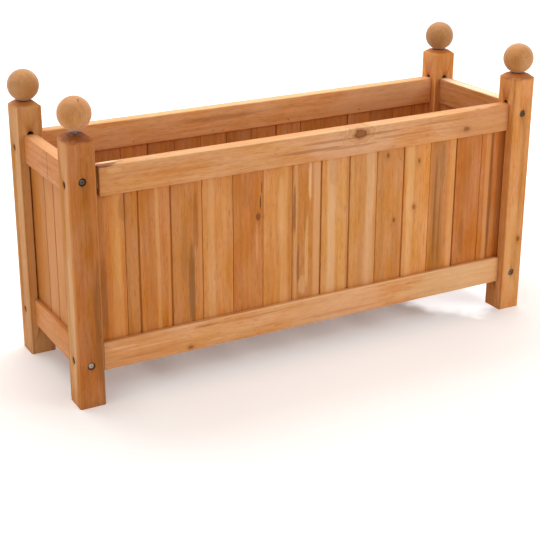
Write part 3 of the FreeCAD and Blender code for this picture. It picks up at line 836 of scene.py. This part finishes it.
def screw_tree(material):
    """A domed head with a cross recess, over a plain shank; the head's underside is at the point."""
    tree, source = tree_with_inputs("Frame screw", SCREW_SIZES)
    high = source.outputs["Head height"]
    head = add(tree, "GeometryNodeMeshCylinder",
               {"Vertices": 40, "Radius": times(tree, source.outputs["Head width"], 0.5), "Depth": high,
                "Side Segments": 4})
    lifted = add(tree, "ShaderNodeSeparateXYZ", {0: add(tree, "GeometryNodeInputPosition").outputs[0]})
    share = maths(tree, "DIVIDE", lifted.outputs[2], high)
    slim = ranged(tree, share, -0.5, 0.5, 0.70, 1.0, "SMOOTHERSTEP")
    domed = add(tree, "GeometryNodeSetPosition",
                {"Geometry": head.outputs["Mesh"],
                 "Position": vector_of(tree, times(tree, lifted.outputs[0], slim),
                                       times(tree, lifted.outputs[1], slim), lifted.outputs[2])})
    head = raised(tree, domed.outputs[0], times(tree, high, -0.5))
    arm = source.outputs["Recess arm"]
    wide = source.outputs["Recess width"]
    deep = times(tree, source.outputs["Recess depth"], 2.0)
    cut = add(tree, "GeometryNodeMeshBoolean", {"Mesh 1": head}, operation="DIFFERENCE", solver="EXACT")
    for size in (vector_of(tree, wide, arm, deep), vector_of(tree, arm, wide, deep)):
        bar = add(tree, "GeometryNodeMeshCube", {"Size": size})
        tree.links.new(raised(tree, bar.outputs[0], times(tree, high, -1.0)), cut.inputs["Mesh 2"])
    length = source.outputs["Shank length"]
    shank = add(tree, "GeometryNodeMeshCylinder",
                {"Vertices": 20, "Radius": times(tree, source.outputs["Shank width"], 0.5), "Depth": length})
    shank = raised(tree, shank.outputs["Mesh"], times(tree, length, 0.5))
    finish_tree(tree, joined(tree, cut.outputs["Mesh"], shank), source, material)
    return tree


# Seat of each frame screw in the front left post, in millimetres, then the way that it is driven
LONG_RAIL_SCREWS = (((-394.0, -106.0, 335.75), (1, 0, 0)), ((-394.0, -106.0, 71.25), (1, 0, 0)))
END_RAIL_SCREWS = (((-380.0, -120.0, 341.75), (0, 1, 0)), ((-380.0, -120.0, 65.25), (0, 1, 0)))


def in_every_corner(places):
    """Points and directions of the front left corner, mirrored to the other three."""
    found = []
    for side in (1, -1):
        for face in (1, -1):
            for point, direction in places:
                found.append((Vector((point[0] * side, point[1] * face, point[2])) * MM,
                              Vector((direction[0] * side, direction[1] * face, direction[2]))))
    return found


class PLANTER_OT_frame_screws(bpy.types.Operator):
    """Drive the cross head screws that hold the rails"""
    bl_idname = "planter.frame_screws"
    bl_label = "Frame screws"

    def execute(self, context):
        screw = context.scene.planter_screw
        sizes = {label: getattr(screw, setting) for label, setting in SCREW_SIZES.items()}
        tree = screw_tree(steel("Bright zinc plated steel, tumbled", "#B4AEA4", 0.28, 0.12, painted_shade_above=0.2))
        for node, places in (("long_rail_screws", LONG_RAIL_SCREWS), ("end_rail_screws", END_RAIL_SCREWS)):
            piece = grown_on(context, node + "_driven", tree, sizes, in_every_corner(places))
            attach(piece, "trough")
            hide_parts(node)
        return {"FINISHED"}


def dowel_tree(material, turns):
    """A shank with a rounded thread wound on it, centred on its point."""
    tree, source = tree_with_inputs("Dowel screw", ("Length", "Radius", "Pitch", "Thread depth"))
    core = maths(tree, "SUBTRACT", source.outputs["Radius"], source.outputs["Thread depth"])
    shank = add(tree, "GeometryNodeMeshCylinder",
                {"Vertices": 24, "Radius": core, "Depth": source.outputs["Length"]})
    height = times(tree, source.outputs["Pitch"], float(turns))
    wind = add(tree, "GeometryNodeCurveSpiral",
               {"Resolution": 24, "Rotations": float(turns), "Start Radius": core,
                "End Radius": core, "Height": height})
    ridge = add(tree, "GeometryNodeCurvePrimitiveCircle",
                {"Resolution": 8, "Radius": source.outputs["Thread depth"]})
    thread = add(tree, "GeometryNodeCurveToMesh",
                 {"Curve": raised(tree, wind.outputs[0], times(tree, height, -0.5)),
                  "Profile Curve": ridge.outputs[0], "Fill Caps": True})
    finish_tree(tree, joined(tree, shank.outputs["Mesh"], thread.outputs[0]), source, material)
    return tree


class PLANTER_OT_dowel_screws(bpy.types.Operator):
    """Cut the threads of the dowel screws under the balls"""
    bl_idname = "planter.dowel_screws"
    bl_label = "Dowel screws"

    def execute(self, context):
        finial = context.scene.planter_finial
        low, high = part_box("front_left_dowel_screw")
        length = high.z - low.z
        turns = int(length / finial.thread_pitch) - 1
        tree = dowel_tree(steel("Zinc plated dowel screw, rolled thread", "#8E8A80", 0.42, 0.2), turns)
        sizes = {"Length": length, "Radius": (high.x - low.x) / 2, "Pitch": finial.thread_pitch,
                 "Thread depth": finial.thread_depth}
        for corner in CORNERS:
            node = corner + "_dowel_screw"
            upright = [(middle(node) * MM, Vector((0, 0, 1)))]
            piece = grown_on(context, node + "_threaded", tree, sizes, upright)
            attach(piece, corner + "_screw")
            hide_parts(node)
        return {"FINISHED"}


class PLANTER_OT_brads(bpy.types.Operator):
    """Dull the brads that pin the boards and nail the base"""
    bl_idname = "planter.brads"
    bl_label = "Brads"

    def execute(self, context):
        made = steel("Drawn steel wire, dulled", "#6E6860", 0.5, 0.25)
        for node in ("board_pins", "ledger_nails", "slat_nails"):
            dress(frame["nodes"][node], made)
        return {"FINISHED"}


# ---------------------------------------------------------------- stage

def lamp(context, name, power, size, place, aim):
    """A rectangular soft box at a place, pointing at aim, all in metres."""
    light = bpy.data.lights.new(name, "AREA")
    light.energy = power
    light.shape = "RECTANGLE"
    light.size, light.size_y = size
    made = bpy.data.objects.new(name, light)
    context.scene.collection.objects.link(made)
    direction = Vector(aim) - Vector(place)
    made.matrix_world = Matrix.Translation(place) @ direction.to_track_quat("-Z", "Y").to_matrix().to_4x4()
    return made


def seen_directly(tree):
    """One for rays from the camera, a reflection or a clear body, and zero for light that bounces."""
    rays = add(tree, "ShaderNodeLightPath")
    seen = maths(tree, "MAXIMUM", rays.outputs["Is Camera Ray"], rays.outputs["Is Glossy Ray"])
    return maths(tree, "MAXIMUM", seen, rays.outputs["Is Transmission Ray"])


def studio_floor(colour):
    """Matt white studio paper: a faint tooth, lifted to pure white away from the trough.

    It also has painted light: a glow along the front that stands for light thrown by the boards, and a
    painted pool of light under the right end for light from behind.
    """
    made, tree = empty_material("White background paper, matt")
    place = add(tree, "ShaderNodeTexCoord").outputs["Object"]
    tooth = noise(tree, place, 2.0, scale=700.0)
    tint = mixed(tree, tooth, shade(colour, 0.985), shade(colour, 1.0))
    matt = add(tree, "ShaderNodeBsdfDiffuse", {"Color": tint})
    spot = add(tree, "ShaderNodeSeparateXYZ", {0: place})
    aside = maths(tree, "ABSOLUTE", spot.outputs[0])
    level = ranged(tree, length_of(tree, place), 0.36, 1.1, 0.11, 0.55, "SMOOTHSTEP")
    # Painted light: a glow that rises before the trough for the light the front boards throw, and fades
    # farther out and past its ends
    ahead = ranged(tree, spot.outputs[1], -0.06, -0.11, 0.0, 0.17, "SMOOTHSTEP")
    spent = ranged(tree, spot.outputs[1], -0.14, -0.27, 1.0, 0.0, "SMOOTHSTEP")
    painted_bounce = times(tree, times(tree, ahead, spent), ranged(tree, aside, 0.3, 0.42, 1.0, 0.0))
    # Painted pool of light under the right end
    pool = stain(tree, place, (0.34, -0.02, 0.0), (0.12, 0.12, 1.0), 0.55)
    level = maths(tree, "ADD", maths(tree, "ADD", level, painted_bounce), pool)
    lift = add(tree, "ShaderNodeEmission",
               {"Color": (0.94, 0.97, 1.0, 1.0), "Strength": times(tree, seen_directly(tree), level)})
    both = add(tree, "ShaderNodeAddShader", {0: matt.outputs[0], 1: lift.outputs[0]})
    add(tree, "ShaderNodeOutputMaterial", {0: both.outputs[0]})
    return made


def white_room(context, strength):
    """A world that lights the trough evenly and is seen as white."""
    world = bpy.data.worlds.new("White studio")
    context.scene.world = world
    world.use_nodes = True
    tree = world.node_tree
    tree.nodes.clear()
    level = ranged(tree, seen_directly(tree), 0.0, 1.0, strength, 1.0)
    glow = add(tree, "ShaderNodeBackground", {"Color": (1, 1, 1, 1), "Strength": level})
    add(tree, "ShaderNodeOutputWorld", {0: glow.outputs[0]})


# The photograph's viewpoint, worked out from the trough's corners: axes to the right, up and back
CAMERA_PLACE = (-0.952974, -1.669849, 0.863574)
CAMERA_RIGHT = (0.884415, -0.466667, -0.005668)
CAMERA_UP = (0.164706, 0.300737, 0.939377)
CAMERA_BACK = (-0.436672, -0.831733, 0.342839)
FOCAL_PIXELS = 1262.2
IMAGE_PIXELS = 540.0
AXIS_PIXEL = (237.9, 233.2)


def photo_camera(context):
    view = bpy.data.cameras.new("Photograph")
    view.sensor_width = 36.0
    view.lens = FOCAL_PIXELS / IMAGE_PIXELS * view.sensor_width
    view.shift_x = (IMAGE_PIXELS / 2 - AXIS_PIXEL[0]) / IMAGE_PIXELS
    view.shift_y = (AXIS_PIXEL[1] - IMAGE_PIXELS / 2) / IMAGE_PIXELS
    view.clip_end = 60.0
    made = bpy.data.objects.new("Photograph", view)
    context.scene.collection.objects.link(made)
    axes = Matrix((CAMERA_RIGHT, CAMERA_UP, CAMERA_BACK)).transposed().to_4x4()
    made.matrix_world = Matrix.Translation(CAMERA_PLACE) @ axes
    context.scene.camera = made


class PLANTER_OT_stage(bpy.types.Operator):
    """Lay the pale floor, hang the soft lamps and set the camera"""
    bl_idname = "planter.stage"
    bl_label = "Stage"

    def execute(self, context):
        stage = context.scene.planter_stage
        half = stage.floor_size / 2
        mesh = bpy.data.meshes.new("floor")
        corners = [(-half, -half, 0), (half, -half, 0), (half, half, 0), (-half, half, 0)]
        mesh.from_pydata(corners, [], [(0, 1, 2, 3)])
        floor = bpy.data.objects.new("floor", mesh)
        context.scene.collection.objects.link(floor)
        dress(floor, studio_floor(tuple(stage.floor_colour)))
        white_room(context, 0.55)
        lamp(context, "Overhead soft box", stage.key_power, (2.8, 1.4), (0.1, 0.6, 1.8), (0, 0, 0.2))
        lamp(context, "Left soft box", stage.left_power, (1.4, 1.4), (-2.2, -0.5, 1.0), (0, 0, 0.2))
        lamp(context, "Front soft box", stage.front_power, (1.2, 1.2), (1.5, -1.7, 0.9), (0.25, 0, 0.2))
        photo_camera(context)
        context.scene.view_settings.view_transform = "Standard"
        return {"FINISHED"}


# ---------------------------------------------------------------- add-on

class PLANTER_PT_panel(bpy.types.Panel):
    """Lists the planter's pieces"""
    bl_idname = "PLANTER_PT_panel"
    bl_label = "Window Box Planter"
    bl_space_type = "VIEW_3D"
    bl_region_type = "UI"
    bl_category = "Planter"

    def draw(self, context):
        layout = self.layout
        for operator in OPERATORS:
            layout.operator(operator.bl_idname)
        for group in (context.scene.planter_wood, context.scene.planter_finial, context.scene.planter_screw,
                      context.scene.planter_stage):
            box = layout.box()
            for name in group.__annotations__:
                box.prop(group, name)


OPERATORS = (PLANTER_OT_stage, PLANTER_OT_posts, PLANTER_OT_rails, PLANTER_OT_boards, PLANTER_OT_base,
             PLANTER_OT_balls, PLANTER_OT_dowel_screws, PLANTER_OT_frame_screws, PLANTER_OT_brads)
SETTINGS = {"planter_wood": PlanterWoodSettings, "planter_finial": PlanterFinialSettings,
            "planter_screw": PlanterScrewSettings, "planter_stage": PlanterStageSettings}


def register():
    for name, group in SETTINGS.items():
        bpy.utils.register_class(group)
        setattr(bpy.types.Scene, name, bpy.props.PointerProperty(type=group))
    for operator in OPERATORS:
        bpy.utils.register_class(operator)
    bpy.utils.register_class(PLANTER_PT_panel)


def unregister():
    bpy.utils.unregister_class(PLANTER_PT_panel)
    for operator in reversed(OPERATORS):
        bpy.utils.unregister_class(operator)
    for name, group in SETTINGS.items():
        delattr(bpy.types.Scene, name)
        bpy.utils.unregister_class(group)


def main():
    register()
    for make in (bpy.ops.planter.stage, bpy.ops.planter.posts, bpy.ops.planter.rails, bpy.ops.planter.boards,
                 bpy.ops.planter.base, bpy.ops.planter.balls, bpy.ops.planter.dowel_screws,
                 bpy.ops.planter.frame_screws, bpy.ops.planter.brads):
        make()


if __name__ == "__main__":
    main()
